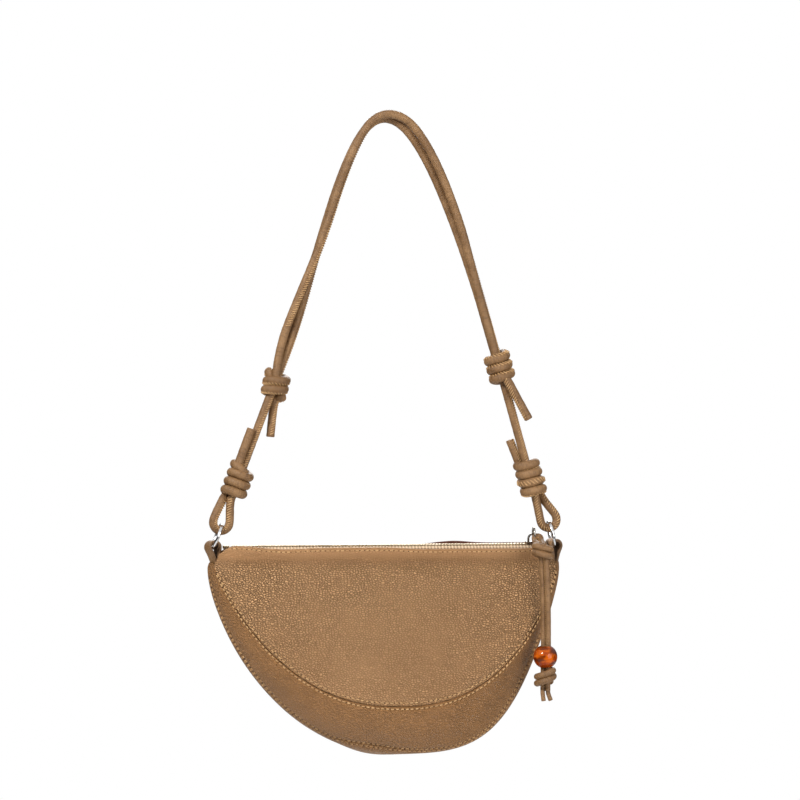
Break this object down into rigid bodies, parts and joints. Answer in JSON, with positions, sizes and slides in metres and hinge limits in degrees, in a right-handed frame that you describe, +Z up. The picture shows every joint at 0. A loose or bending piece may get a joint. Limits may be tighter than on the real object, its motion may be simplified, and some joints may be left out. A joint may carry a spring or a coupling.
{
  "type": "half moon bag",
  "caption": "Half moon shoulder bag with a zip mouth, lower crescent panels, end tabs with rings and a doubled cord strap with sliding knots.",
  "frame": {"origin": "underside of the strap at its top, where the bag hangs", "axes": "+X to the right seen from the front, +Y towards the back, +Z up"},
  "size_m": [0.2828, 0.0679, 0.5097],
  "materials": {
    "bag_leather": "pebbled grain, satin",
    "crescent_leather": "pebbled grain, satin",
    "cord_leather": "smooth, satin",
    "tab_leather": "smooth with raw edges",
    "lining_cloth": "woven, matt",
    "zip_tape": "woven, matt",
    "zip_metal": "polished",
    "bright_metal": "polished",
    "bead_amber": "translucent, polished"
  },
  "bodies": {
    "strap": {"left_cord": "cord_leather", "right_cord": "cord_leather", "left_cord_end": "cord_leather", "right_cord_end": "cord_leather", "left_lower_knot": "cord_leather", "right_lower_knot": "cord_leather"},
    "left_slide_knot": {"left_upper_knot": "cord_leather"},
    "right_slide_knot": {"right_upper_knot": "cord_leather"},
    "bag": {"front_upper_panel": "bag_leather", "front_lower_panel": "crescent_leather", "back_upper_panel": "bag_leather", "back_lower_panel": "crescent_leather", "front_lining": "lining_cloth", "back_lining": "lining_cloth", "zip_tape_front": "zip_tape", "zip_tape_back": "zip_tape", "zip_teeth_front": "zip_metal", "zip_teeth_back": "zip_metal", "zip_bottom_stop": "zip_metal", "zip_top_stops": "zip_metal", "left_tab": "tab_leather", "right_tab": "tab_leather"},
    "left_ring_body": {"left_ring": "bright_metal"},
    "right_ring_body": {"right_ring": "bright_metal"},
    "slider": {"zip_slider": "bright_metal"},
    "pull": {"pull_ring": "bright_metal", "pull_strands": "cord_leather", "pull_top_knot": "cord_leather", "pull_bottom_knot": "cord_leather", "pull_tails": "cord_leather"},
    "bead": {"pull_bead": "bead_amber"}
  },
  "joints": [
    {"name": "bag_swing", "type": "hinge", "parent": "strap", "child": "bag", "pos_m": [-0.0025, 0, -0.327], "axis": [1, 0, 0], "range_deg": [-45, 45]},
    {"name": "left_ring_turn", "type": "hinge", "parent": "bag", "child": "left_ring_body", "pos_m": [-0.136, 0, -0.327], "axis": [0.9336, 0, -0.3584], "continuous": true},
    {"name": "right_ring_turn", "type": "hinge", "parent": "bag", "child": "right_ring_body", "pos_m": [0.131, 0, -0.327], "axis": [-0.9781, 0, -0.2079], "continuous": true},
    {"name": "left_knot_slide", "type": "slide", "parent": "strap", "child": "left_slide_knot", "axis": [0.3535, 0, 0.9354], "range_m": [-0.016, 0.01], "deforming": ["right_cord_end"]},
    {"name": "right_knot_slide", "type": "slide", "parent": "strap", "child": "right_slide_knot", "axis": [-0.2706, 0, 0.9627], "range_m": [-0.026, 0.01], "deforming": ["left_cord_end"]},
    {"name": "zip_slide", "type": "slide", "parent": "bag", "child": "slider", "axis": [1, 0, 0], "range_m": [-0.2361, 0], "deforming": ["zip_tape_front", "zip_tape_back", "zip_teeth_front", "zip_teeth_back"]},
    {"name": "pull_lift", "type": "hinge", "parent": "slider", "child": "pull", "pos_m": [0.1165, -0.0027, -0.32675], "axis": [-1, 0, 0], "range_deg": [0, 45]},
    {"name": "bead_slide", "type": "slide", "parent": "pull", "child": "bead", "axis": [0, 0, 1], "range_m": [0, 0.061]}
  ],
  "couplings": [
    {"joint": "pull_lift", "follows": "zip_slide", "rad_per_m": -3.2526}
  ]
}
